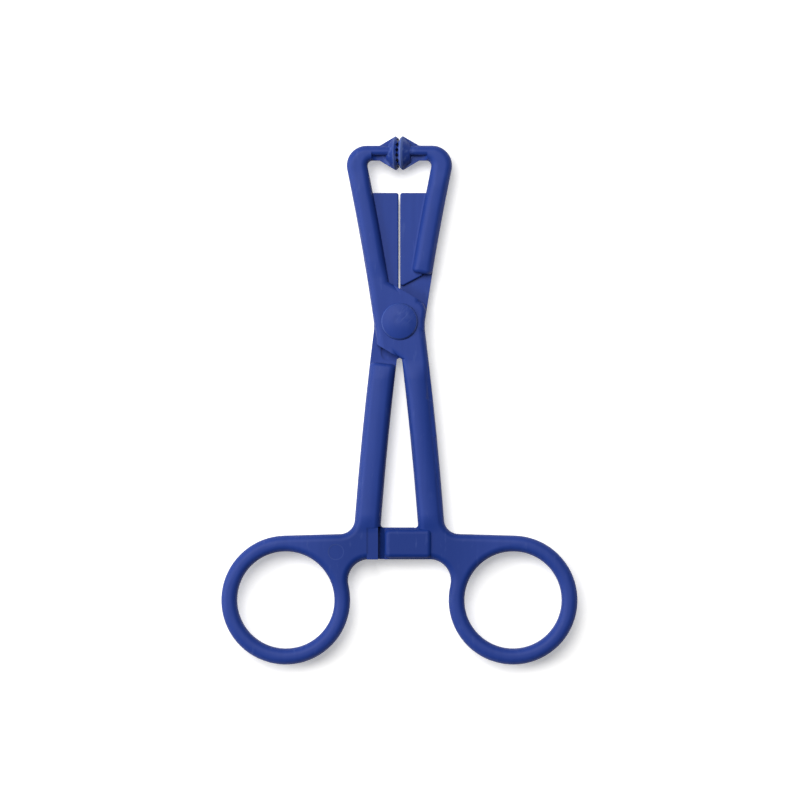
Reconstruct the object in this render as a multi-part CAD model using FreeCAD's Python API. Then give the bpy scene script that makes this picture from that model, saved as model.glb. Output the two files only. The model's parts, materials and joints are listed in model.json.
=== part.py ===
"""Locking forceps moulded in blue plastic: two identical halves and a pivot rivet.

Lengths are in millimetres. The forceps lies flat, with its jaws towards +Y, its finger rings towards -Y
and +Z up. Everything is drawn about the pivot axis at mid thickness, and moved at the end so that the
origin is at the centre of the outline, on the surface that the forceps lies on. A half is drawn as the
upper one: its jaw is on the left, its ring on the right, and its share of the lap joint lies above the
mid plane. The lower half is the same moulding turned half a turn about the long axis.
"""

import FreeCAD, Part
import math
import os

V = FreeCAD.Vector
ORIGIN = V(0, 0, 0)
LONG_AXIS = V(0, 1, 0)
RIGHT_ANGLE = 90.0
HAIR = 1e-6                  # a length that is too small to matter

# Moulding
half_thick = 2.75            # half the thickness of arm, shank and ring
edge_round = 1.8             # rounding along arm, shank and ring
rim_share = 0.49             # most of a wall's width that the rounding of one rim can take
over = 4.0                   # how far a cutting solid runs past what it cuts

# Finger ring and the web that joins it to the shank
ring_x = 28.4
ring_drop = 14.15            # from the middle of the ratchet down to the ring's centre
ring_hole_radius = 12.15
ring_width = 3.95
web_run = 2.2                # straight run below the ratchet, from the shank's side to the ring's hollow
ring_upper_blend = 3.75      # hollow between shank and ring shoulder
shoulder_slope = 1.6         # degrees that the ring's upper shoulder falls outwards
crotch_corner = 0.7          # corner between shank and ratchet

# Shank, from the lap joint to the ring
shank_width = 6.6
shank_offset = 2.775         # from the pivot axis to the shank's middle line
shank_lean = 7.35            # degrees from the long axis, at the pivot
shank_bow = 943.0            # radius of the shank's slight inward bow
shank_bowed_length = 47.0

# Jaw arm, from the lap joint to the bend
arm_width = 5.15
arm_offset = 3.79
arm_lean = 8.15
arm_bow = 622.0
arm_bowed_length = 36.0
bend_outer_radius = 4.96
bend_inner_radius = 1.3

# Cross rod that carries the gripping disc
rod_width = 3.7
rod_rise = 6.63              # from the end of the arm's bow up to the rod's middle line
rod_ridge = 2.5              # width of the rod's raised ridge; the rest is a thin web
web_half_thick = 0.8
web_start = 7.0              # where the thin web begins, from the middle plane
web_run_out = 1.6            # rounding where the web ends against the bend

# Gripping disc
disc_radius = 4.3
disc_tilt = 10.0             # lean of the gripping face, in degrees
disc_rim_back = 0.9          # from the meeting plane to the rim
disc_face_radius = 3.55
disc_hub_radius = 2.3
disc_hub_back = 3.0
disc_rim_round = 0.15
grip_gap = 0.06              # from the meeting plane to the tips of the grip teeth
grip_pitch = 1.3
grip_depth = 0.4
gusset_reach = 4.95          # where the flat gussets meet the rod
gusset_half_thick = 0.75
gusset_tuck = 0.12           # how far inside the rim the gusset begins

# Thin plate between the jaw arms
plate_half_thick = 0.9
plate_gap = 0.21             # from the middle plane to the plate's straight edge
window_drop = 9.95           # from the rod's middle line down to the plate's top
plate_corner = 0.6
plate_edge_round = 0.35
plate_foot_gap = 0.45        # room between the plate's slanting foot and the other half's lap edge
plate_foot_turn = 3.0        # degrees that the foot is less slanted than the lap's edges
plate_foot_corner = 0.6

# Lap joint
lap_angle = 30.7             # slant of the lap's two straight edges, in degrees
lap_upper = 7.1              # pivot axis to the edge on the jaw side
lap_lower = 7.8              # pivot axis to the edge on the ring side
lap_clearance = 0.05         # mid plane to the mating face
lap_edge_round = 1.4
lap_nose_round = 3.2         # plan rounding of the lap's free corner
waist_half_width = 6.35
waist_length = 2.6
arm_step = 12.15             # where the arm's full thickness begins, along the arm
shank_step = 10.5            # where the shank's full thickness begins, along the shank
step_round = 1.0
pocket_reach = 4.65          # shallow pocket in the mating face, beside the shoulder
pocket_top = -4.4
pocket_bottom = -9.9
pocket_corner = 2.0
pocket_depth = 0.3

# Pivot rivet
rivet_radius = 2.5
rivet_clearance = 0.05
rivet_head_radius = 4.58
rivet_head_height = 0.95
rivet_head_edge = 0.35
rivet_dome = 0.3
rivet_dimple_x = -0.8
rivet_dimple_y = 0.65
rivet_dimple_radius = 1.3
rivet_dimple_depth = 0.08

# Ratchet
ratchet_drop = 8.7           # from the end of the shank's bow down to the middle of the ratchet
ratchet_length = 7.9         # of the toothed tab, along the shank
ratchet_reach = 3.7          # of the tab, past the middle plane
ratchet_root_run = 2.85      # how far the block runs on over the shank
ratchet_proud = 0.6          # of the block, above the shank's face
tab_thick = 1.75             # mid plane to the top of the tab
block_inset = 0.25           # step from the tab in to the block that stands on it
block_round = 1.3
block_corner = 1.35
ratchet_gap = 0.15           # mid plane to the tooth tips
ratchet_pitch = 2.85
ratchet_depth = 1.05
ratchet_room = 1.65          # room that is cut into the shank past the end of the other half's block
ratchet_play = 0.3           # room beside the other half's block
panel_depth = 0.18           # flat panel on the face behind the block

# Ejector pin mark on the ring web
mark_angle = 136.1           # seen from the ring's centre
mark_out = 1.35              # from the ring's outer line to the mark's centre
mark_radius = 1.9
mark_depth = 0.1


def polar(angle, length=1.0):
    """The vector of a length at an angle from +X, in degrees."""
    return V(length * math.cos(math.radians(angle)), length * math.sin(math.radians(angle)), 0)


class Bow:
    """A gently curved middle line. Distances run along it, and offsets to its left."""

    def __init__(self, start, heading, radius):
        self.heading = heading
        self.radius = radius
        self.centre = start + polar(heading + RIGHT_ANGLE, radius)

    def heading_at(self, distance):
        return self.heading + math.degrees(distance / self.radius)

    def at(self, distance, offset):
        return self.centre + polar(self.heading_at(distance) - RIGHT_ANGLE, self.radius - offset)

    def edge(self, begin, end, offset):
        middle = self.at((begin + end) / 2, offset)
        return Part.Arc(self.at(begin, offset), middle, self.at(end, offset)).toShape()


arm = Bow(V(-arm_offset, 0, 0), RIGHT_ANGLE + arm_lean, arm_bow)
shank = Bow(V(shank_offset, 0, 0), shank_lean - RIGHT_ANGLE, -shank_bow)

# Places that follow from the sizes above
disc_y = arm.at(arm_bowed_length, 0).y + rod_rise
plate_top = disc_y - window_drop
rod_end = -(disc_rim_back + disc_hub_back) / 2
ratchet_y = shank.at(shank_bowed_length, 0).y - ratchet_drop
ratchet_low = ratchet_y - ratchet_length / 2
ratchet_high = ratchet_y + ratchet_length / 2
ratchet_relief = ratchet_reach + ratchet_room
ring_outer_radius = ring_hole_radius + ring_width
ring_centre = V(ring_x, ratchet_y - ring_drop, 0)


def line(p, q):
    return Part.LineSegment(p, q).toShape()


def meet(p, p_heading, q, q_heading):
    """Where the line through p at p_heading crosses the line through q at q_heading."""
    a = polar(p_heading)
    b = polar(q_heading)
    along = ((q.x - p.x) * b.y - (q.y - p.y) * b.x) / (a.x * b.y - a.y * b.x)
    return p + a * along


def corner_arc(corner, heading_in, heading_out, radius):
    """The arc that rounds a corner between two straight runs, with its two ends."""
    turn = heading_out - heading_in
    reach = radius * math.tan(math.radians(abs(turn) / 2))
    first = corner - polar(heading_in, reach)
    last = corner + polar(heading_out, reach)
    side = math.copysign(RIGHT_ANGLE, turn)
    centre = first + polar(heading_in + side, radius)
    middle = centre - polar((heading_in + heading_out) / 2 + side, radius)
    return Part.Arc(first, middle, last).toShape(), first, last


def joined(edges):
    return Part.Wire(Part.__sortEdges__(edges))


def rounded_outline(corners):
    """A closed outline through (point, radius) corners. A radius of nothing leaves a corner sharp."""
    edges = []
    ends = []
    for i, (here, radius) in enumerate(corners):
        if not radius:
            ends.append((here, here))
            continue
        run_in = here - corners[i - 1][0]
        run_out = corners[(i + 1) % len(corners)][0] - here
        heading_in = math.degrees(math.atan2(run_in.y, run_in.x))
        turn = (math.degrees(math.atan2(run_out.y, run_out.x)) - heading_in + 180) % 360 - 180
        arc, first, last = corner_arc(here, heading_in, heading_in + turn, radius)
        edges.append(arc)
        ends.append((first, last))
    for i, (first, _) in enumerate(ends):
        edges.append(line(ends[i - 1][1], first))
    return joined(edges)


def prism(outline, low, high):
    """The solid between two heights over a flat outline."""
    face = Part.Face(outline)
    face.translate(V(0, 0, low))
    return face.extrude(V(0, 0, high - low))


def box(low, high):
    size = high - low
    return Part.makeBox(size.x, size.y, size.z, low)


def flat_edges(shape, wanted):
    """The edges of a shape that lie level and whose middle point is wanted."""
    found = []
    for edge in shape.Edges:
        middle = edge.valueAt((edge.FirstParameter + edge.LastParameter) / 2)
        if edge.BoundBox.ZLength < HAIR and wanted(middle):
            found.append(edge)
    return found


def rounded_slab(face, wall, wanted):
    """A flat face at full thickness, with its wanted rims rounded as far as its narrowest wall allows."""
    slab = face.copy()
    slab.translate(V(0, 0, -half_thick))
    slab = slab.extrude(V(0, 0, 2 * half_thick))
    return slab.makeFillet(min(edge_round, rim_share * wall), flat_edges(slab, wanted))


def lap_edge_point(offset, x):
    """A point of a lap edge, at an offset from the pivot axis that is positive on the jaw side."""
    slant = math.radians(lap_angle)
    return V(x, offset / math.cos(slant) - x * math.tan(slant), 0)


def beyond_lap_edge(offset):
    """A solid that holds everything past a lap edge."""
    side = 1 if offset > 0 else -1
    reach = over * abs(offset)
    near = [lap_edge_point(offset, -reach), lap_edge_point(offset, reach)]
    far = [p + V(0, side * reach * over, 0) for p in reversed(near)]
    return prism(Part.makePolygon(near + far + near[:1]), -half_thick - over, half_thick + over)


def stepped(beam, bow, step):
    """A beam cut away below the mid plane, for the other half's lap, as far as a step with a rounded rim."""
    wide = over * lap_lower
    foot = bow.at(step, 0)
    along = polar(bow.heading_at(step))
    across = polar(bow.heading_at(step) + RIGHT_ANGLE, wide)
    near = [foot + across, foot - across]
    far = [p - along * wide for p in reversed(near)]
    beam = beam.cut(prism(Part.makePolygon(near + far + near[:1]), -half_thick - over, lap_clearance))
    rim = []
    for edge in beam.Edges:
        middle = edge.valueAt((edge.FirstParameter + edge.LastParameter) / 2)
        if abs((middle - foot).dot(along)) < HAIR and middle.z < lap_clearance - HAIR:
            rim.append(edge)
    return beam.makeFillet(step_round, rim)


def arm_beam():
    """Jaw arm, bend and cross rod, rounded, with the foot cut to the lap's lower edge."""
    foot = -(lap_lower + over)
    head = arm_bowed_length
    side = arm_width / 2
    rod_side = rod_width / 2
    heading = arm.heading_at(head)
    outer_corner = meet(arm.at(head, side), heading, V(0, disc_y + rod_side, 0), 0)
    inner_corner = meet(arm.at(head, -side), heading, V(0, disc_y - rod_side, 0), 0)
    outer_arc, outer_first, outer_last = corner_arc(outer_corner, heading, 0, bend_outer_radius)
    inner_arc, inner_first, inner_last = corner_arc(inner_corner, heading, 0, bend_inner_radius)
    rod_top = V(rod_end, disc_y + rod_side, 0)
    rod_bottom = V(rod_end, disc_y - rod_side, 0)
    outline = joined([
        arm.edge(foot, head, side),
        line(arm.at(head, side), outer_first),
        outer_arc,
        line(outer_last, rod_top),
        line(rod_top, rod_bottom),
        line(rod_bottom, inner_last),
        inner_arc,
        line(inner_first, arm.at(head, -side)),
        arm.edge(foot, head, -side),
        line(arm.at(foot, side), arm.at(foot, -side)),
    ])
    foot_y = arm.at(foot, -side).y
    wall = min(arm_width, rod_width)
    beam = rounded_slab(Part.Face(outline), wall, lambda p: p.x < rod_end - HAIR and p.y > foot_y + side)
    return stepped(beam.cut(beyond_lap_edge(-lap_lower)), arm, arm_step)


def rod_grooves():
    """What is cut from both faces of the rod to leave a thin web beside its rounded ridge."""
    ridge_low = disc_y + rod_width / 2 - rod_ridge
    ridge_mid = ridge_low + rod_ridge / 2
    ridge = box(V(-2 * web_start, ridge_low, -half_thick), V(web_start, disc_y + rod_width, half_thick))
    low_rims = flat_edges(ridge, lambda p: abs(p.y - ridge_low) < HAIR)
    ridge = ridge.makeFillet(rod_ridge / 2, low_rims)
    upper = box(V(-web_start, disc_y - rod_width, web_half_thick), V(0, ridge_mid, half_thick + over))
    run_out = flat_edges(upper, lambda p: p.x < -web_start + HAIR and p.z < web_half_thick + HAIR)
    upper = upper.makeFillet(web_run_out, run_out)
    lower = upper.mirror(ORIGIN, V(0, 0, 1))
    return [upper.cut(ridge), lower.cut(ridge)]


def gripping_disc():
    """Gripping disc with V-shaped teeth, leaning back about the centre of the meeting plane."""
    profile = [
        V(-grip_gap, 0, 0),
        V(-grip_gap, disc_face_radius, 0),
        V(-disc_rim_back, disc_radius, 0),
        V(-disc_hub_back, disc_hub_radius, 0),
        V(-disc_hub_back, 0, 0),
    ]
    disc = Part.Face(Part.makePolygon(profile + profile[:1])).revolve(ORIGIN, V(1, 0, 0), 360)
    rim = [edge for edge in disc.Edges if edge.BoundBox.ZLength > disc_face_radius + disc_radius]
    disc = disc.makeFillet(disc_rim_round, rim)
    count = math.ceil(disc_radius / grip_pitch)
    zigzag = []
    for i in range(-count, count):
        zigzag.append(V(-grip_gap, i * grip_pitch, 0))
        zigzag.append(V(-grip_gap - grip_depth, (i + 0.5) * grip_pitch, 0))
    zigzag.append(V(-grip_gap, count * grip_pitch, 0))
    far = [V(over, count * grip_pitch, 0), V(over, -count * grip_pitch, 0)]
    reach = disc_radius + over
    disc = disc.cut(prism(Part.makePolygon(zigzag + far + zigzag[:1]), -reach, reach))
    disc.rotate(ORIGIN, LONG_AXIS, -disc_tilt)
    disc.translate(V(0, disc_y, 0))
    return disc


def gussets():
    """Flat webs from the disc's rim to the rod, on both sides of the rod."""
    tip_x = -disc_rim_back - gusset_tuck
    tip_y = disc_radius - gusset_tuck
    foot_y = rod_width / 2
    corners = [(tip_x, tip_y), (-gusset_reach, foot_y), (-gusset_reach, -foot_y), (tip_x, -tip_y)]
    outline = [V(x, disc_y + y, 0) for x, y in corners]
    return prism(Part.makePolygon(outline + outline[:1]), -gusset_half_thick, gusset_half_thick)


def plate_foot_point(x):
    slant = math.radians(lap_angle - plate_foot_turn)
    return V(x, (lap_upper + plate_foot_gap) / math.cos(slant) - x * math.tan(slant), 0)


def on_plate_rim(p, height):
    """Whether a point lies on the plate's rim beside the middle plane or along its top, at a height."""
    return abs(p.z - height) < HAIR and (p.x > -plate_gap - plate_foot_corner or p.y > plate_top - HAIR)


def on_foot(p):
    """Whether a point lies on the outer rim of the plate's slanting foot."""
    return p.z < -lap_clearance and abs(plate_foot_point(p.x).y - p.y) < HAIR


def plate():
    """Thin plate between the arm and the middle plane. Above the mid plane it runs down into the lap."""
    inside_lap = lap_upper - lap_edge_round
    top = V(arm.at(plate_top, 0).x, plate_top, 0)
    top_corner = V(-plate_gap, plate_top, 0)
    over_lap = rounded_outline([
        (lap_edge_point(inside_lap, -plate_gap), 0),
        (top_corner, plate_corner),
        (top, 0),
        (lap_edge_point(inside_lap, arm.at(lap_upper, 0).x), 0),
    ])
    upper = prism(over_lap, lap_clearance, plate_half_thick)
    upper_rim = flat_edges(upper, lambda p: on_plate_rim(p, plate_half_thick))
    above_lap = rounded_outline([
        (plate_foot_point(-plate_gap), plate_foot_corner),
        (top_corner, plate_corner),
        (top, 0),
        (plate_foot_point(arm.at(arm_step, 0).x), 0),
    ])
    lower = prism(above_lap, -plate_half_thick, lap_clearance)
    lower_rim = flat_edges(lower, lambda p: on_plate_rim(p, -plate_half_thick) or on_foot(p))
    return [
        upper.makeFillet(plate_edge_round, upper_rim),
        lower.makeFillet(plate_edge_round, lower_rim),
    ]


def on_lap_rim(p):
    """Whether a point lies on a free edge of the lap's outer face, and not inside the arm or the shank."""
    slant = math.radians(lap_angle)
    offset = p.x * math.sin(slant) + p.y * math.cos(slant)
    beside = p.x > (shank_offset + waist_half_width) / 2 and p.y > -waist_length
    return p.z > half_thick - HAIR and (beside or offset > lap_upper - HAIR or offset < HAIR - lap_lower)


def lap():
    """Flat part of the lap joint between arm and shank, with its free outer edges rounded."""
    waist_top = V(waist_half_width, 0, 0)
    nose = meet(waist_top, RIGHT_ANGLE - arm_lean, lap_edge_point(lap_upper, 0), -lap_angle)
    outline = rounded_outline([
        (lap_edge_point(lap_upper, arm.at(lap_upper, 0).x), 0),
        (nose, lap_nose_round),
        (waist_top, 0),
        (V(waist_half_width, -waist_length, 0), 0),
        (shank.at(waist_length, 0), 0),
        (lap_edge_point(-lap_lower, shank.at(lap_lower, 0).x), 0),
        (lap_edge_point(-lap_lower, arm.at(-lap_lower, 0).x), 0),
    ])
    band = prism(outline, lap_clearance, half_thick)
    return band.makeFillet(lap_edge_round, flat_edges(band, on_lap_rim))


def pocket():
    """Shallow pocket in the mating face, beside the shank's shoulder."""
    outline = rounded_outline([
        (V(0, pocket_top, 0), 0),
        (V(0, pocket_bottom, 0), 0),
        (V(pocket_reach, pocket_bottom, 0), pocket_corner),
        (V(pocket_reach, pocket_top, 0), 0),
    ])
    return prism(outline, -half_thick, lap_clearance + pocket_depth)


def shank_inside(y):
    """The point of the shank's inner side at a height below its bow."""
    foot = shank_bowed_length
    return meet(shank.at(foot, -shank_width / 2), shank.heading_at(foot), V(0, y, 0), 0)


def shank_beam():
    """Shank, ring web and finger ring, rounded, with the head cut to the lap's upper edge."""
    head = -(lap_upper + over)
    foot = shank_bowed_length
    side = shank_width / 2
    heading = shank.heading_at(foot)
    inner_corner = shank_inside(ratchet_low)
    hollow_top = inner_corner + V(web_run, 0, 0)
    aside = ring_centre.x - hollow_top.x
    above = hollow_top.y - ring_centre.y
    hollow_radius = (aside**2 + above**2 - ring_outer_radius**2) / 2 / (ring_outer_radius + above)
    hollow = hollow_top - V(0, hollow_radius, 0)
    hollow_end = math.degrees(math.atan2(ring_centre.y - hollow.y, aside))
    hollow_middle = (hollow_end + RIGHT_ANGLE) / 2
    touch = hollow + polar(hollow_end, hollow_radius)
    shoulder_turn = RIGHT_ANGLE - shoulder_slope
    shoulder = ring_centre + polar(shoulder_turn, ring_outer_radius)
    outer_corner = meet(shank.at(foot, side), heading, shoulder, -shoulder_slope)
    blend = corner_arc(outer_corner, heading, -shoulder_slope, ring_upper_blend)
    outer_arc, outer_first, outer_last = blend
    ring_far = (hollow_end + shoulder_turn) / 2 - RIGHT_ANGLE
    outline = joined([
        shank.edge(head, foot, -side),
        line(shank.at(foot, -side), inner_corner),
        line(inner_corner, hollow_top),
        Part.Arc(hollow_top, hollow + polar(hollow_middle, hollow_radius), touch).toShape(),
        Part.Arc(touch, ring_centre + polar(ring_far, ring_outer_radius), shoulder).toShape(),
        line(shoulder, outer_last),
        outer_arc,
        line(outer_first, shank.at(foot, side)),
        shank.edge(head, foot, side),
        line(shank.at(head, side), shank.at(head, -side)),
    ])
    hole = Part.Wire([Part.makeCircle(ring_hole_radius, ring_centre)])
    face = Part.Face(outline).cut(Part.Face(hole)).Faces[0]
    head_y = shank.at(head, 0).y
    beam = rounded_slab(face, min(shank_width, ring_width), lambda p: p.y < head_y - side)
    return stepped(beam.cut(beyond_lap_edge(lap_upper)), shank, shank_step)


def ratchet_block_end():
    return shank_inside(ratchet_low).x + ratchet_root_run


def ratchet_block():
    """Toothed tab that reaches past the middle plane, and the rounded block on its back."""
    block_end = ratchet_block_end()
    root = (ratchet_relief + block_end) / 2
    shank_foot = shank_inside(ratchet_high)
    tab = prism(
        rounded_outline([
            (V(-ratchet_reach, ratchet_low, 0), 0),
            (V(root, ratchet_low, 0), 0),
            (V(root, ratchet_high + crotch_corner, 0), 0),
            (shank_foot + polar(shank.heading_at(shank_bowed_length), -crotch_corner), 0),
            (shank_foot, crotch_corner),
            (V(-ratchet_reach, ratchet_high, 0), 0),
        ]),
        0,
        tab_thick,
    )
    back = box(
        V(ratchet_relief, ratchet_low, -half_thick + panel_depth),
        V(block_end, ratchet_high, tab_thick),
    )
    block_top = half_thick + ratchet_proud
    block = box(
        V(-ratchet_reach, ratchet_low + block_inset, 0),
        V(block_end, ratchet_high - block_inset, block_top),
    )
    uprights = [edge for edge in block.Edges if edge.BoundBox.ZLength > block_round]
    block = block.makeFillet(block_corner, uprights)
    block = block.makeFillet(block_round, flat_edges(block, lambda p: p.z > block_top - HAIR))
    return [tab, back, block]


def ratchet_space():
    """What is cut away below the teeth, from the tab's free end to the relief in the shank."""
    root = ratchet_gap + ratchet_depth
    below = -half_thick - over
    zigzag = [V(-ratchet_reach - over, root, 0)]
    for i in range(math.floor((ratchet_relief + ratchet_reach) / ratchet_pitch)):
        start = -ratchet_reach + i * ratchet_pitch
        zigzag.append(V(start, root, 0))
        zigzag.append(V(start + ratchet_pitch, ratchet_gap, 0))
    last = zigzag[-1].x
    zigzag += [V(last, root, 0), V(ratchet_relief, root, 0), V(ratchet_relief, below, 0)]
    zigzag.append(V(-ratchet_reach - over, below, 0))
    outline = Part.makePolygon(zigzag + zigzag[:1])
    space = prism(outline, -ratchet_high - ratchet_play, -ratchet_low + over)
    space.rotate(ORIGIN, V(1, 0, 0), RIGHT_ANGLE)
    return space


def panel_space():
    """Flat panel on the face behind the block."""
    return box(
        V(ratchet_reach, ratchet_low - over, -half_thick - over),
        V(ratchet_block_end(), ratchet_high, -half_thick + panel_depth),
    )


def ejector_mark():
    centre = ring_centre + polar(mark_angle, ring_outer_radius + mark_out)
    return Part.makeCylinder(mark_radius, over + mark_depth, centre - V(0, 0, half_thick + over))


def rivet_hole():
    reach = half_thick + over
    return Part.makeCylinder(rivet_radius + rivet_clearance, 2 * reach, V(0, 0, -reach))


def half():
    """One moulding, drawn as the upper half."""
    jaw = arm_beam().cut(rod_grooves()).fuse([gripping_disc(), gussets()] + plate())
    body = jaw.fuse([shank_beam(), lap()] + ratchet_block())
    spaces = [pocket(), ratchet_space(), panel_space(), ejector_mark(), rivet_hole()]
    return body.cut(spaces).removeSplitter().Solids[0]


def rivet():
    """Pivot rivet with a domed head on each face and a dimple in the upper one."""
    rim = rivet_head_radius - rivet_head_edge
    top = half_thick + rivet_head_height
    rim_top = top - rivet_dome
    dome_radius = (rim**2 + rivet_dome**2) / (2 * rivet_dome)
    dome_middle = V(rim / 2, 0, top - dome_radius + math.sqrt(dome_radius**2 - (rim / 2) ** 2))
    quarter = joined([
        line(V(0, 0, 0), V(rivet_radius, 0, 0)),
        line(V(rivet_radius, 0, 0), V(rivet_radius, 0, half_thick)),
        line(V(rivet_radius, 0, half_thick), V(rivet_head_radius, 0, half_thick)),
        line(V(rivet_head_radius, 0, half_thick), V(rivet_head_radius, 0, rim_top - rivet_head_edge)),
        line(V(rivet_head_radius, 0, rim_top - rivet_head_edge), V(rim, 0, rim_top)),
        Part.Arc(V(rim, 0, rim_top), dome_middle, V(0, 0, top)).toShape(),
        line(V(0, 0, top), V(0, 0, 0)),
    ])
    upper = Part.Face(quarter).revolve(ORIGIN, V(0, 0, 1), 360)
    lower = upper.copy()
    lower.rotate(ORIGIN, LONG_AXIS, 180)
    ball = (rivet_dimple_radius**2 + rivet_dimple_depth**2) / (2 * rivet_dimple_depth)
    dimple = Part.makeSphere(ball, V(rivet_dimple_x, rivet_dimple_y, top - rivet_dimple_depth + ball))
    return upper.fuse(lower).removeSplitter().cut(dimple).Solids[0]


def main():
    upper_half = half()
    lower_half = upper_half.copy()
    lower_half.rotate(ORIGIN, LONG_AXIS, 180)
    nodes = {"upper_half": upper_half, "lower_half": lower_half, "pivot_rivet": rivet()}

    outer = upper_half.optimalBoundingBox()
    os.makedirs("parts", exist_ok=True)
    for name, shape in nodes.items():
        shape.translate(V(0, -outer.Center.y, max(outer.ZMax, -outer.ZMin)))
        print(name, "valid" if shape.isValid() else "INVALID", round(shape.Volume, 2), "mm3")
        shape.exportStep(f"parts/{name}.step")


main()
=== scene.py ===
# %% [markdown]
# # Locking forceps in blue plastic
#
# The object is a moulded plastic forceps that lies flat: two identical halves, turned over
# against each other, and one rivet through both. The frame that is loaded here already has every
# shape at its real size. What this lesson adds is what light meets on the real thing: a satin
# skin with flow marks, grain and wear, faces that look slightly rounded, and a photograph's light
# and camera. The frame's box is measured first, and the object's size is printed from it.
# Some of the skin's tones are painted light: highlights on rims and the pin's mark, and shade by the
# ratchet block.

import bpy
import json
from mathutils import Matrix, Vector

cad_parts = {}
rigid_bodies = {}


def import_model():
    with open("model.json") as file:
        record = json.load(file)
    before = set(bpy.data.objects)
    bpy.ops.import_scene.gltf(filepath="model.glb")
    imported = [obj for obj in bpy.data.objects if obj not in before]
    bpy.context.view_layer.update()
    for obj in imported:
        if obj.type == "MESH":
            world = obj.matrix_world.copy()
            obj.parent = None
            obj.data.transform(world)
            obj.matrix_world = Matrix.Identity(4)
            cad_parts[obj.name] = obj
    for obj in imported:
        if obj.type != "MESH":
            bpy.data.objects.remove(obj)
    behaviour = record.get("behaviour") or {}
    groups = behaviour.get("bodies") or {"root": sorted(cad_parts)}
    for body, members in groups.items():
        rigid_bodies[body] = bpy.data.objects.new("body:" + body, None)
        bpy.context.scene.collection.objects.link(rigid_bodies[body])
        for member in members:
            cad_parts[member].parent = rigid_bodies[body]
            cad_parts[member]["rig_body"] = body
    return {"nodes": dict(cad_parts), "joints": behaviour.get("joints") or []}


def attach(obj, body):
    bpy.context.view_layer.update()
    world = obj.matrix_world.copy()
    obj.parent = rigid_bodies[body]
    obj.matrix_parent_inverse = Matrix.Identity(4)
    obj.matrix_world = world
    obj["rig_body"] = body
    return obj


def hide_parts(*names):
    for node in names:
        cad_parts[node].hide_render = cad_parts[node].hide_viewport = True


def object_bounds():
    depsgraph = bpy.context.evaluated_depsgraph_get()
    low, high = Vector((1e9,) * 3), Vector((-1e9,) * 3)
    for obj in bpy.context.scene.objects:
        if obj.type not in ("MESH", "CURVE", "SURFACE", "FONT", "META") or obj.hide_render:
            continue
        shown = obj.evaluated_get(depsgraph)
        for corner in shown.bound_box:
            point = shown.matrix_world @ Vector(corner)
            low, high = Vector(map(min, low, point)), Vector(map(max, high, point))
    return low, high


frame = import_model()
cad_low, cad_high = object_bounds()
print(f"{len(frame['nodes'])} pieces loaded")

# %% [markdown]
# ## What the frame holds
#
# Each piece comes as one mesh in metres, in its place, and the halves swing on one joint. Places
# could be typed in as coordinates, but the joint's own place is a better start: the camera, the
# wear and the rounded faces are all measured from the pivot, in the millimetres of a drawing.

# %% Names, pivot and size
import json
import math

import bmesh
import bpy
from mathutils import Vector

MM = 0.001

halves = ("upper_half", "lower_half")
rivet = "pivot_rivet"
joint = frame["joints"][0]
pivot = Vector(joint["pos_m"])
size = (cad_high - cad_low) / MM
print(f"{size.x:.1f} x {size.y:.1f} x {size.z:.1f} mm")
print(f"pivot axis {pivot.y / MM:.2f} mm up the long axis, turns through {joint['range_deg']} degrees")

# %% [markdown]
# ## The camera
#
# The picture was taken straight from above with a long lens, so the outline has no visible
# perspective. An orthographic camera would draw the same outline, but a long lens also keeps
# the slight change of angle across the object that shapes its reflections. Only three facts
# place the camera: how many pixels one metre takes at the height of the pivot, the pixel where
# the pivot lies, and the picture's size. Blender gives a sensor and a lens in millimetres.

# %% Camera above the pivot's pixel
PICTURE = 800
PIVOT_PIXEL = (399.4, 321.6)
PIXELS_PER_METRE = 4000
SENSOR = 36.0
CAMERA_HEIGHT = 1.2

seen_width = PICTURE / PIXELS_PER_METRE
middle = Vector((
    pivot.x + (PICTURE / 2 - PIVOT_PIXEL[0]) / PIXELS_PER_METRE,
    pivot.y - (PICTURE / 2 - PIVOT_PIXEL[1]) / PIXELS_PER_METRE,
    pivot.z,
))
camera_data = bpy.data.cameras.new("camera_above")
camera_data.sensor_width = SENSOR
camera_data.lens = SENSOR * CAMERA_HEIGHT / seen_width
camera = bpy.data.objects.new("camera_above", camera_data)
camera.location = middle + Vector((0, 0, CAMERA_HEIGHT))
bpy.context.scene.collection.objects.link(camera)
bpy.context.scene.camera = camera
print(f"lens {camera_data.lens:.0f} mm, the picture spans {seen_width / MM:.0f} mm")

# %% [markdown]
# ## Arithmetic on sockets
#
# A procedural finish is mostly sums: this mask times that noise, one minus the other. Built by
# hand, each sum is a Math node with two links. The class below wraps an output socket, so that
# Python's own operators add those nodes. One method makes every other kind of node: it sets the
# node's settings first and then its sockets, each from a value or from another signal.

# %% Signal, a socket with arithmetic
class Signal:
    """The output socket of a node. Arithmetic on it adds Math nodes."""

    def __init__(self, socket):
        self.socket = socket

    @staticmethod
    def node(tree, kind, inputs, settings=None, out=0):
        made = tree.nodes.new(kind)
        for name, value in (settings or {}).items():
            setattr(made, name, value)
        for name, value in inputs.items():
            if isinstance(value, Signal):
                tree.links.new(value.socket, made.inputs[name])
            else:
                made.inputs[name].default_value = value
        return Signal(made.outputs[out])

    def math(self, operation, first, second):
        tree = self.socket.id_data
        return Signal.node(tree, "ShaderNodeMath", {0: first, 1: second}, {"operation": operation})

    def __add__(self, other):
        return self.math("ADD", self, other)

    __radd__ = __add__

    def __sub__(self, other):
        return self.math("SUBTRACT", self, other)

    def __rsub__(self, other):
        return self.math("SUBTRACT", other, self)

    def __mul__(self, other):
        return self.math("MULTIPLY", self, other)

    __rmul__ = __mul__

    def between(self, low, high):
        """Rises smoothly from 0 to 1 as the signal goes from low to high."""
        inputs = {"Value": self, "From Min": low, "From Max": high}
        settings = {"interpolation_type": "SMOOTHSTEP"}
        return Signal.node(self.socket.id_data, "ShaderNodeMapRange", inputs, settings)


print("a signal can be added, taken away and multiplied")

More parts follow.
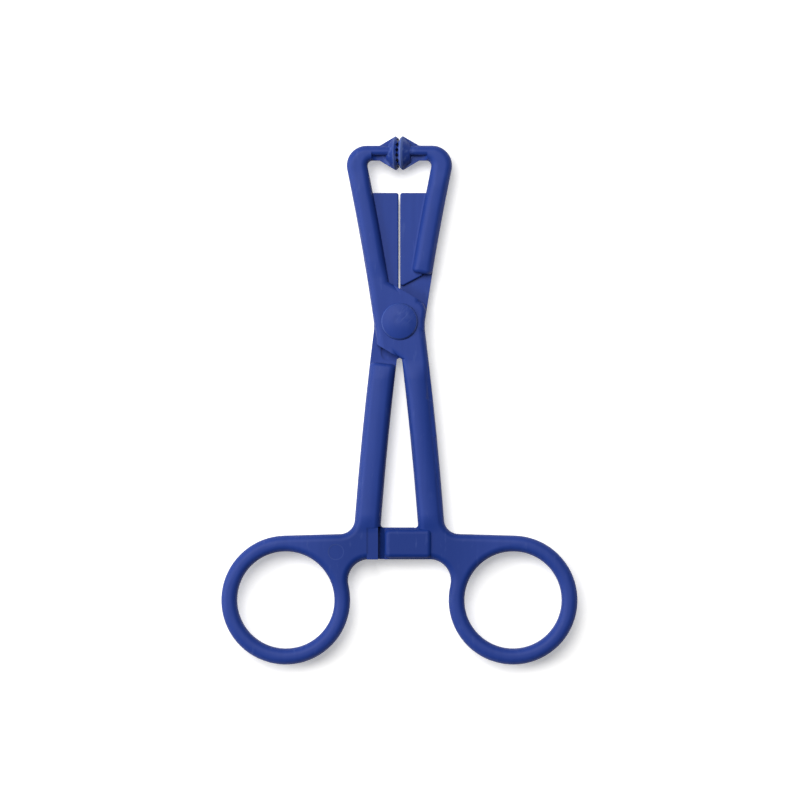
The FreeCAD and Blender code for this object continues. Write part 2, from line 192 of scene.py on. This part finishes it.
# %% [markdown]
# ## Noise in the material's own space
#
# Every pattern reads Object coordinates. The pieces are never moved, so a pattern stays fixed in
# the plastic while the halves swing, and it can be placed in the same metres as the shapes. A
# Mapping node stretches it: a direction that is scaled down is one along which the features run
# long. A shift moves a pattern to another part of the noise, so that two patterns don't match.
# Noise is named by the size of its features, which is what can be measured on a photograph.

# %% Places and noise
EVEN = (1.0, 1.0, 1.0)
UNMOVED = (0.0, 0.0, 0.0)
PLAIN_DETAIL = 2.0
RICH_DETAIL = 3.0
RICHEST_DETAIL = 4.0


def place(tree, stretch=EVEN, shift=UNMOVED):
    """Object coordinates, stretched and then shifted."""
    here = Signal.node(tree, "ShaderNodeTexCoord", {}, out="Object")
    return Signal.node(tree, "ShaderNodeMapping", {"Vector": here, "Scale": stretch, "Location": shift})


def noise_at(tree, here, feature, detail):
    """Noise from 0 to 1 at a place, with features about as large as given."""
    inputs = {"Vector": here, "Scale": 1.0 / feature, "Detail": detail}
    return Signal.node(tree, "ShaderNodeTexNoise", inputs)


def noise(tree, feature, detail=PLAIN_DETAIL, stretch=EVEN, shift=UNMOVED):
    """The same noise, read from stretched and shifted Object coordinates."""
    return noise_at(tree, place(tree, stretch, shift), feature, detail)


print("patterns are placed in metres")

# %% [markdown]
# ## Balls and circles
#
# Wear and painted light sit at certain places: patches of wear on a disc, painted highlights round
# a pin's mark and on a rim, painted shade by the ratchet block. An image could mark them, but a
# distance does it without one. The distance from a centre gives a ball, and where one direction
# isn't counted it becomes the distance from an axis, which gives circles round it.

# %% Distance, ball and circle
ROUND_X = (0.0, 1.0, 1.0)
ROUND_Z = (1.0, 1.0, 0.0)


def distance(tree, centre, across=EVEN):
    """How far a point is from a centre, counting only the directions that are 1 in across."""
    shift = tuple(-value * counted for value, counted in zip(centre, across))
    away = {0: place(tree, across, shift)}
    return Signal.node(tree, "ShaderNodeVectorMath", away, {"operation": "LENGTH"}, out="Value")


def near(tree, centre, inner, outer):
    """1 inside a ball round a centre, falling to 0 at a larger one."""
    return 1 - distance(tree, centre).between(inner, outer)


def on_circle(tree, centre, across, radius, width):
    """1 on a thin line round a circle, falling to 0 at its width on either side."""
    away = distance(tree, centre, across)
    return away.between(radius - width, radius) - away.between(radius, radius + width)


# Circles carry the painted highlights on rims and round the pin's mark; balls hold wear and the painted
# shade.
print("wear can sit in a ball or on a circle")

# %% [markdown]
# ## Colours, bumps and an empty finish
#
# A Math node would turn a colour grey, so colours meet in a Mix node, whose share is held between
# 0 and 1. Relief too fine to model is given as a height that tilts the surface's normal. Several
# bumps could be summed into one height, but each has its own depth in millimetres, so they are
# stacked: each bump starts from the normal of the one before.

# %% Blend, bump and new finish
def blend(tree, share, first, second):
    """Goes from the first colour to the second as share rises from 0 to 1."""
    inputs = {0: share, 6: first, 7: second}
    settings = {"data_type": "RGBA", "clamp_factor": True}
    return Signal.node(tree, "ShaderNodeMix", inputs, settings, out=2)


def bump(tree, height, strength, depth, normal=None):
    """Tilts the surface as if it rose by depth where height is 1, on top of another bump's normal."""
    inputs = {"Height": height, "Strength": strength, "Distance": depth}
    if normal is not None:
        inputs["Normal"] = normal
    return Signal.node(tree, "ShaderNodeBump", inputs)


def new_finish(name):
    """A new material with its tree and its main shader."""
    finish = bpy.data.materials.new(name)
    finish.use_nodes = True
    return finish, finish.node_tree, finish.node_tree.nodes["Principled BSDF"]


print("a skin is a colour, a roughness and a stack of bumps")

# %% [markdown]
# ## Worn gripping discs with painted highlights on their rims
#
# The discs at the jaws take all the gripping, so they are pale with wear in patches on their backs,
# and short scores run round them. Their rims carry a painted highlight, a pale line all the way
# round where the edge catches the light. Both discs lie about the same point of the jaws' meeting
# plane and have the same axis, so one centre serves for both. Each function gives how pale a point
# is, from 0 for untouched plastic.

# %% Rims, patches and scores of the discs
DISC_CENTRE = (0.0, pivot.y + 42.1 * MM, pivot.z)
DISC_BALL = (3.6 * MM, 5.2 * MM)
RIM_RADIUS = 4.22 * MM
RIM_WIDTH = 0.36 * MM
RIM_BALL = (4.5 * MM, 5.0 * MM)
PATCH = 1.6 * MM
PATCH_SHIFT = (0.4, 0.1, 0.7)
PATCH_EDGE = (0.48, 0.64)
DISC_SCORE = 0.22 * MM
DISC_SCORE_STRETCH = (1.0, 0.25, 0.25)
DISC_SCORE_EDGE = (0.62, 0.72)


def disc_backs(tree):
    """Rubbed patches on the backs of the discs."""
    patches = noise(tree, PATCH, RICH_DETAIL, shift=PATCH_SHIFT).between(*PATCH_EDGE)
    return near(tree, DISC_CENTRE, *DISC_BALL) * patches


def disc_rim_highlights(tree):
    """Painted highlight on the rims of the discs, all the way round."""
    rims = on_circle(tree, DISC_CENTRE, ROUND_X, RIM_RADIUS, RIM_WIDTH)
    return rims * near(tree, DISC_CENTRE, *RIM_BALL)


def half_scores(tree):
    """Short scores on the discs."""
    fine = noise(tree, DISC_SCORE, stretch=DISC_SCORE_STRETCH).between(*DISC_SCORE_EDGE)
    return near(tree, DISC_CENTRE, *DISC_BALL) * fine


print(f"the discs' centre is {DISC_CENTRE[1] / MM:.1f} mm up the long axis")

# %% [markdown]
# ## The pin's mark with a painted highlight, and the scuffs
#
# On the web of the left finger ring the pin that pushed the moulding out left a round mark. The
# frame has it as a recess a tenth of a millimetre deep, which catches hardly any light, while on
# the real ring its edge catches the light as a fine pale ring. A deeper cut would be untrue to the
# moulding, so that pale line is painted on the same circle as a painted highlight. Handling also
# left faint scuffs that run along arms and shanks. All wear and painted highlights of a half are
# added up with a weight for each kind.

# %% Wear and painted highlights on a half
MARK_CENTRE = (-15.85 * MM, pivot.y - 57.5 * MM, pivot.z + 2.7 * MM)
MARK_RADIUS = 1.9 * MM
MARK_WIDTH = 0.18 * MM
MARK_BALL = (2.2 * MM, 3.0 * MM)
SCUFF = 1.3 * MM
SCUFF_STRETCH = (1.0, 0.25, 1.0)
SCUFF_SHIFT = (0.3, 0.9, 0.2)
SCUFF_EDGE = (0.60, 0.78)
BACKS_WORN = 0.7
# Painted highlight on the disc rims.
RIMS_HIGHLIGHT = 1.3
# Painted highlight on the edge of the pin's mark.
MARK_HIGHLIGHT = 0.25
SCUFFS_WORN = 0.2


def pin_mark_highlight(tree):
    """Painted highlight: the fine pale ring on the edge of the ejector pin's mark."""
    ring = on_circle(tree, MARK_CENTRE, ROUND_Z, MARK_RADIUS, MARK_WIDTH)
    return ring * near(tree, MARK_CENTRE, *MARK_BALL)


def long_scuffs(tree):
    """Faint scuffs along the forceps."""
    return noise(tree, SCUFF, RICH_DETAIL, SCUFF_STRETCH, SCUFF_SHIFT).between(*SCUFF_EDGE)


def half_wear_and_highlights(tree):
    """Disc wear, painted highlights on disc rims and the pin's mark, and scuffs together."""
    discs = disc_backs(tree) * BACKS_WORN + disc_rim_highlights(tree) * RIMS_HIGHLIGHT
    return discs + pin_mark_highlight(tree) * MARK_HIGHLIGHT + long_scuffs(tree) * SCUFFS_WORN


print(f"the pin's mark is {2 * MARK_RADIUS / MM:.1f} mm across")

# %% [markdown]
# ## Wear and a painted highlight on the rivet
#
# The rivet's head stands proud of the joint, so it rubs on whatever lies over it. Its rim carries a
# painted highlight, a pale line all the way round where the edge catches the light. A cloudy patch
# of wear sits towards its upper right, and fine scores cross that patch from the lower left to the
# upper right. A Mapping node stretches before it turns, so a slanting scratch needs the coordinates
# turned first, by a node of their own, and stretched afterwards.

# %% Rim, cloud and scores of the head
HEAD_RIM = 4.38 * MM
HEAD_RIM_WIDTH = 0.2 * MM
# Painted highlight on the head's rim.
HEAD_RIM_HIGHLIGHT = 0.5
WORN_CENTRE = (1.3 * MM, pivot.y + 1.6 * MM, pivot.z + 3.5 * MM)
WORN_BALL = (1.6 * MM, 4.4 * MM)
WORN_CLOUD = 1.4 * MM
WORN_CLOUD_SHIFT = (0.2, 0.5, 0.0)
WORN_CLOUD_EDGE = (0.40, 0.75)
CLOUD_WORN = 0.15
SCORED_BALL = (0.8 * MM, 3.4 * MM)
SCORE_TURN = math.radians(50)
SCORE = 0.3 * MM
SCORE_STRETCH = (0.12, 1.0, 1.0)
SCORE_EDGE = (0.52, 0.68)


def rivet_wear_and_highlights(tree):
    """Painted highlight on the head's rim, and cloudy wear towards its upper right."""
    cloud = noise(tree, WORN_CLOUD, RICHEST_DETAIL, shift=WORN_CLOUD_SHIFT).between(*WORN_CLOUD_EDGE)
    rim = on_circle(tree, tuple(pivot), ROUND_Z, HEAD_RIM, HEAD_RIM_WIDTH)
    return near(tree, WORN_CENTRE, *WORN_BALL) * cloud * CLOUD_WORN + rim * HEAD_RIM_HIGHLIGHT


def rivet_scores(tree):
    """Scores across the head, from the lower left to the upper right."""
    inputs = {"Vector": place(tree), "Angle": -SCORE_TURN}
    turned = Signal.node(tree, "ShaderNodeVectorRotate", inputs, {"rotation_type": "Z_AXIS"})
    along = Signal.node(tree, "ShaderNodeMapping", {"Vector": turned, "Scale": SCORE_STRETCH})
    fine = noise_at(tree, along, SCORE, PLAIN_DETAIL)
    return near(tree, WORN_CENTRE, *SCORED_BALL) * fine.between(*SCORE_EDGE)


print(f"scores run at {math.degrees(SCORE_TURN):.0f} degrees across the rivet's head")

# %% [markdown]
# ## Crowned faces
#
# A moulded bar is seldom quite flat on top. Arms and shanks rise in a shallow curve to their
# middle line, and so does the rivet's head, which shows as a slow change from pale on the left to
# dark on the right. The frame's faces are flat, so the curve is given as a height that bends the
# normal only. It needs the middle line of each bar: which way it runs from the pivot, where it
# starts beside it, how much it leans and how it bows. Both halves are the same in plan, so one
# side serves for both. The bars on the right are darker in the photograph, as if the strained
# half were twisted a little, so their curve sits a little further to the left.

# %% Middle lines of shank and arm
shank_line = {
    "way": -1,
    "start": 2.775 * MM,
    "lean": 0.129,
    "bend": -0.53,
    "half": 3.3 * MM,
    "slope": 0.40,
    "twist": 1.0 * MM,
    "low": 9.5 * MM,
    "high": 48 * MM,
}
arm_line = {
    "way": 1,
    "start": 3.79 * MM,
    "lean": 0.143,
    "bend": 0.80,
    "half": 2.575 * MM,
    "slope": 0.26,
    "twist": 0.35 * MM,
    "low": 10.5 * MM,
    "high": 33 * MM,
}
for line in (shank_line, arm_line):
    print(f"a bar falls off by {math.degrees(math.atan(line['slope'])):.0f} degrees at its edges")

# %% [markdown]
# ## From middle line to height
#
# Across a bar the crown is a parabola: highest on the middle line, 0 at half the bar's width, and
# held at 0 beyond. A circle's arc would look the same at so low a height and take more nodes.
# Along the bar the crown fades in and out, so that it ends before the joint and the bends.

# %% Heights of the crowned faces
FADE = 5 * MM
HEAD_HALF = 4.6 * MM
HEAD_SLOPE = 0.22


def crown(sideways, half_width, slope):
    """Height that is 0 at half_width from the middle, where it falls off with the given slope."""
    height = (half_width * half_width - sideways * sideways) * (slope / (2 * half_width))
    return height.math("MAXIMUM", height, 0.0)


def bar_crown(tree, line):
    """Crown along one bar, which fades in beyond the line's low and out beyond its high."""
    here = place(tree)
    along = Signal.node(tree, "ShaderNodeSeparateXYZ", {0: here}, out="Y")
    along = (along - pivot.y) * line["way"]
    side = Signal.node(tree, "ShaderNodeSeparateXYZ", {0: here}, out="X")
    middle_line = along * (along * line["bend"] + line["lean"]) + line["start"]
    on_right = side.math("GREATER_THAN", side, 0.0)
    sideways = side.math("ABSOLUTE", side, 0.0) - middle_line + on_right * line["twist"]
    fade_in = along.between(line["low"], line["low"] + FADE)
    fade_out = along.between(line["high"], line["high"] + FADE)
    return crown(sideways, line["half"], line["slope"]) * (fade_in - fade_out)


def half_crown(tree):
    """The crowns of shank and arm."""
    return bar_crown(tree, shank_line) + bar_crown(tree, arm_line)


def rivet_crown(tree):
    """The crown of the rivet's head, round the pivot's axis."""
    return crown(distance(tree, tuple(pivot), ROUND_Z), HEAD_HALF, HEAD_SLOPE)


for line in (shank_line, arm_line):
    print(f"its crown would be {line['half'] * line['slope'] / 2 / MM:.2f} mm high")

# %% [markdown]
# ## The dye, with painted shade
#
# Each half is one shot of dyed plastic. Up close its colour isn't even: it clouds a little where
# the melt cooled slower, and faint streaks follow the flow along arm and shank. Where the ratchet
# block and the webs of the finger rings meet the shanks, the flats are dimmer and less glossy, and a
# deeper blue is painted there as painted shade. Worn places scatter more light and look paler, and
# the painted highlights on rims and round the pin's mark take the same pale blue. One flat blue
# would do from afar, but these four tones are what make it plastic at close range, and each
# follows from a place or a noise.

# %% Colour of the plastic
DEEP_BLUE = (0.0098, 0.034, 0.215, 1)
CLEAR_BLUE = (0.0155, 0.0445, 0.254, 1)
# Painted shade: this deeper, less reddish blue darkens the flats by the ratchet block and ring webs.
PAINTED_SHADE_BLUE = (0.003, 0.025, 0.184, 1)
# The pale blue serves both wear and the painted highlights on rims and the pin's mark.
WORN_AND_HIGHLIT_BLUE = (0.072, 0.115, 0.34, 1)
STREAK = 1.1 * MM
STREAK_STRETCH = (1.0, 0.06, 1.0)
CLOUD_TONE = 0.7
STREAK_TONE = 0.9
GRAIN_TONE = 0.5
TONE_START = 0.55
SHADE_CENTRE = (0.0, pivot.y - 55.3 * MM, pivot.z)
SHADE_BALL = (12 * MM, 26 * MM)
SHADE_TOP = (pivot.y - 53 * MM, pivot.y - 48 * MM)
SHADE_SHARE = 0.9
SCORE_SHARE = 0.3


def painted_shade_patch(tree):
    """1 on the painted shade where ratchet block and webs meet the shanks, falling to 0 round it."""
    up = Signal.node(tree, "ShaderNodeSeparateXYZ", {0: place(tree)}, out="Y")
    below = 1 - up.between(*SHADE_TOP)
    return near(tree, SHADE_CENTRE, *SHADE_BALL) * below


def dyed(tree, clouds, grain, wear_and_highlights, scored):
    """Clouded and streaked blue, with painted shade by the block and webs, and paler on wear, scores
    and painted highlights.
    """
    streaks = noise(tree, STREAK, RICH_DETAIL, STREAK_STRETCH)
    tone = clouds * CLOUD_TONE + streaks * STREAK_TONE + grain * GRAIN_TONE - TONE_START
    colour = blend(tree, tone, DEEP_BLUE, CLEAR_BLUE)
    # Painted shade by the ratchet block and the ring webs.
    colour = blend(tree, painted_shade_patch(tree) * SHADE_SHARE, colour, PAINTED_SHADE_BLUE)
    # Wear, scores and painted highlights take the pale blue.
    return blend(tree, wear_and_highlights + scored * SCORE_SHARE, colour, WORN_AND_HIGHLIT_BLUE)


print(f"streaks are {STREAK / MM:.1f} mm wide and {1 / STREAK_STRETCH[1]:.0f} times as long")

# %% [markdown]
# ## Satin and relief
#
# The skin copies the mould's spark-eroded steel: a fine grain that spreads every highlight. Thick
# stretches sink a little as they shrink, which bends the highlights, and scores cut into the
# skin. All three are at most a twentieth of a millimetre deep, so they are bumps and not shape.
# The crown is by far the tallest and comes first in the stack. Its height is already in metres,
# so its own bump keeps it at full strength and at a depth of one metre.

# %% Roughness and bumps of the plastic
SATIN = 0.48
CLOUD_ROUGHNESS = 0.08
GRAIN_ROUGHNESS = 0.08
WORN_ROUGHNESS = 0.1
FULL_STRENGTH = 1.0
ONE_METRE = 1.0
SINK = 5 * MM
SINK_STRENGTH = 0.5
SINK_DEPTH = 0.05 * MM
SCORE_STRENGTH = 0.6
SCORE_DEPTH = 0.02 * MM
GRAIN_STRENGTH = 0.4
GRAIN_DEPTH = 0.01 * MM


def satin(clouds, grain, wear_and_highlights):
    """Roughness of the skin, a little duller on wear and on the painted highlights."""
    return SATIN + clouds * CLOUD_ROUGHNESS + grain * GRAIN_ROUGHNESS + wear_and_highlights * WORN_ROUGHNESS


def relief(tree, crowned, scored, grain):
    """The normal after crown, sink, scores and grain."""
    curved = bump(tree, crowned, FULL_STRENGTH, ONE_METRE)
    sunk = bump(tree, noise(tree, SINK), SINK_STRENGTH, SINK_DEPTH, curved)
    grooved = bump(tree, 1 - scored, SCORE_STRENGTH, SCORE_DEPTH, sunk)
    return bump(tree, grain, GRAIN_STRENGTH, GRAIN_DEPTH, grooved)


print(f"the grain is {GRAIN_DEPTH / MM:.2f} mm deep")

# %% [markdown]
# ## One skin for halves and rivet
#
# The rivet is of the same plastic as the halves and differs only in its wear, its painted highlights
# and how it is crowned. Two materials could be written out, but they would drift apart. So one
# function makes both finishes, and is handed the functions for wear with painted highlights, scores
# and crown.

# %% Two finishes from one function
CLOUD = 7 * MM
GRAIN = 0.16 * MM
GLOSS_LEVEL = 0.23


def satin_skin(name, wear_and_highlights_of, scores, crown_height):
    """Dyed plastic with a satin skin, paler on wear and painted highlights, and grooved by scores."""
    finish, tree, shader = new_finish(name)
    clouds = noise(tree, CLOUD)
    grain = noise(tree, GRAIN, RICH_DETAIL)
    # Wear together with painted highlights.
    wear_and_highlights = wear_and_highlights_of(tree)
    scored = scores(tree)
    feeds = {
        "Base Color": dyed(tree, clouds, grain, wear_and_highlights, scored),
        "Roughness": satin(clouds, grain, wear_and_highlights),
        "Normal": relief(tree, crown_height(tree), scored, grain),
    }
    for name_of_input, signal in feeds.items():
        tree.links.new(signal.socket, shader.inputs[name_of_input])
    shader.inputs["Specular IOR Level"].default_value = GLOSS_LEVEL
    print(f"{name}: {len(tree.nodes)} nodes")
    return finish


half_skin = satin_skin("half_skin", half_wear_and_highlights, half_scores, half_crown)
rivet_skin = satin_skin("rivet_skin", rivet_wear_and_highlights, rivet_scores, rivet_crown)

# %% [markdown]
# ## Dressed copies
#
# The frame's meshes are loose triangles, which shade as facets. They are never edited, so each
# piece gets a copy whose doubles are merged, and the copy stands for the node. Faces that meet
# at a small angle shade as one curve, and sharper edges stay. The imported normals are dropped,
# because they hold the facets, and weighted ones keep the large flats flat beside their fillets.

# %% Copy, merge and shade
SHARP = math.radians(28)
MERGE = 0.0005 * MM


def dressed_copy(node, name, finish):
    """A merged and smoothly shaded copy that stands for a node of the frame."""
    original = frame["nodes"][node]
    shape = bmesh.new()
    shape.from_mesh(original.data)
    bmesh.ops.remove_doubles(shape, verts=shape.verts, dist=MERGE)
    mesh = bpy.data.meshes.new(name)
    shape.to_mesh(mesh)
    loose = sum(1 for edge in shape.edges if not edge.is_manifold)
    shape.free()
    mesh.attributes.remove(mesh.attributes["custom_normal"])
    mesh.materials.clear()
    mesh.materials.append(finish)
    mesh.shade_smooth()
    mesh.set_sharp_from_angle(angle=SHARP)
    piece = bpy.data.objects.new(name, mesh)
    bpy.context.scene.collection.objects.link(piece)
    even = piece.modifiers.new("even_shading", "WEIGHTED_NORMAL")
    even.keep_sharp = True
    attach(piece, original["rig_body"])
    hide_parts(node)
    print(f"{name}: {len(mesh.polygons)} faces, {loose} open edges")


for node in halves:
    dressed_copy(node, node.replace("half", "moulding"), half_skin)
dressed_copy(rivet, "rivet_moulding", rivet_skin)

# %% [markdown]
# ## The white sheet
#
# The forceps lies on a white sheet that the photograph shows fully white, with a soft shadow at
# the lower right of every edge. More light would bleach the blue too. So the sheet's own material
# glows a little, but only for rays that come from the camera, from gloss or through glass. The
# glow adds to what the lamps give: lit places pass white, and the shadows stay. Diffuse rays never
# see it, so it puts no light on the object.

# %% Sheet with its glow
SHEET_REACH = 3.0
SHEET_WHITE = (0.92, 0.915, 0.90, 1)
SHEET_ROUGHNESS = 0.9
SHEET_GLOW = 0.38

sheet_shape = bmesh.new()
bmesh.ops.create_grid(sheet_shape, x_segments=1, y_segments=1, size=SHEET_REACH)
sheet_mesh = bpy.data.meshes.new("white_sheet")
sheet_shape.to_mesh(sheet_mesh)
sheet_shape.free()
sheet = bpy.data.objects.new("white_sheet", sheet_mesh)
bpy.context.scene.collection.objects.link(sheet)

paper, paper_tree, paper_shader = new_finish("paper")
paper_shader.inputs["Base Color"].default_value = SHEET_WHITE
paper_shader.inputs["Roughness"].default_value = SHEET_ROUGHNESS
paper_shader.inputs["Emission Strength"].default_value = SHEET_GLOW
seen_by = [Signal.node(paper_tree, "ShaderNodeLightPath", {}, out=f"Is {ray} Ray")
           for ray in ("Camera", "Glossy", "Transmission")]
glow = sum(seen_by)
paper_tree.links.new(glow.socket, paper_shader.inputs["Emission Color"])
sheet_mesh.materials.append(paper)
print(f"sheet of {2 * SHEET_REACH:.0f} m a side")

# %% [markdown]
# ## Light
#
# The shadows in the photograph fall to the lower right, are about 2 mm wide and fade softly, so
# the main lamp is large and stands high at the upper left. Slopes that face left are paler than
# those that face up the picture, so a second, weaker lamp stands low at the left. The lamps are
# set so that a level face shows about the colour that is written in its finish.

# %% Two lamps
def soft_light(name, azimuth, elevation, away, width, watts):
    """A square soft light that looks at the middle of the object. Azimuth 0 is +X, and 90 is +Y."""
    lamp = bpy.data.lights.new(name, "AREA")
    lamp.size = width
    lamp.energy = watts
    holder = bpy.data.objects.new(name, lamp)
    around = math.radians(azimuth)
    up = math.radians(elevation)
    way = Vector((math.cos(around) * math.cos(up), math.sin(around) * math.cos(up), math.sin(up)))
    holder.location = middle + way * away
    holder.rotation_mode = "QUATERNION"
    holder.rotation_quaternion = way.to_track_quat("Z", "Y")
    bpy.context.scene.collection.objects.link(holder)
    print(f"{name}: {watts} W from {azimuth} degrees, {elevation} degrees up")


soft_light("upper_left_light", azimuth=120, elevation=64, away=1.1, width=0.72, watts=12.0)
soft_light("left_light", azimuth=176, elevation=28, away=1.1, width=0.5, watts=7.2)

# %% [markdown]
# ## Sky and view
#
# With two lamps alone the sides that face away would be black. In a real room the walls and the
# ceiling send a little light from everywhere, and a faint even sky does the same here. A third
# lamp could fill in too, but it would draw shadows of its own. The Standard view shows a colour
# as it is written, where a filmic one would fade the blue.

# %% Faint sky, plain view
SKY_WHITE = (1, 1, 1, 1)
SKY_LEVEL = 0.08

world = bpy.data.worlds.new("studio")
bpy.context.scene.world = world
world.use_nodes = True
sky = world.node_tree.nodes["Background"]
sky.inputs["Color"].default_value = SKY_WHITE
sky.inputs["Strength"].default_value = SKY_LEVEL
bpy.context.scene.view_settings.view_transform = "Standard"
print(f"sky level {SKY_LEVEL}")
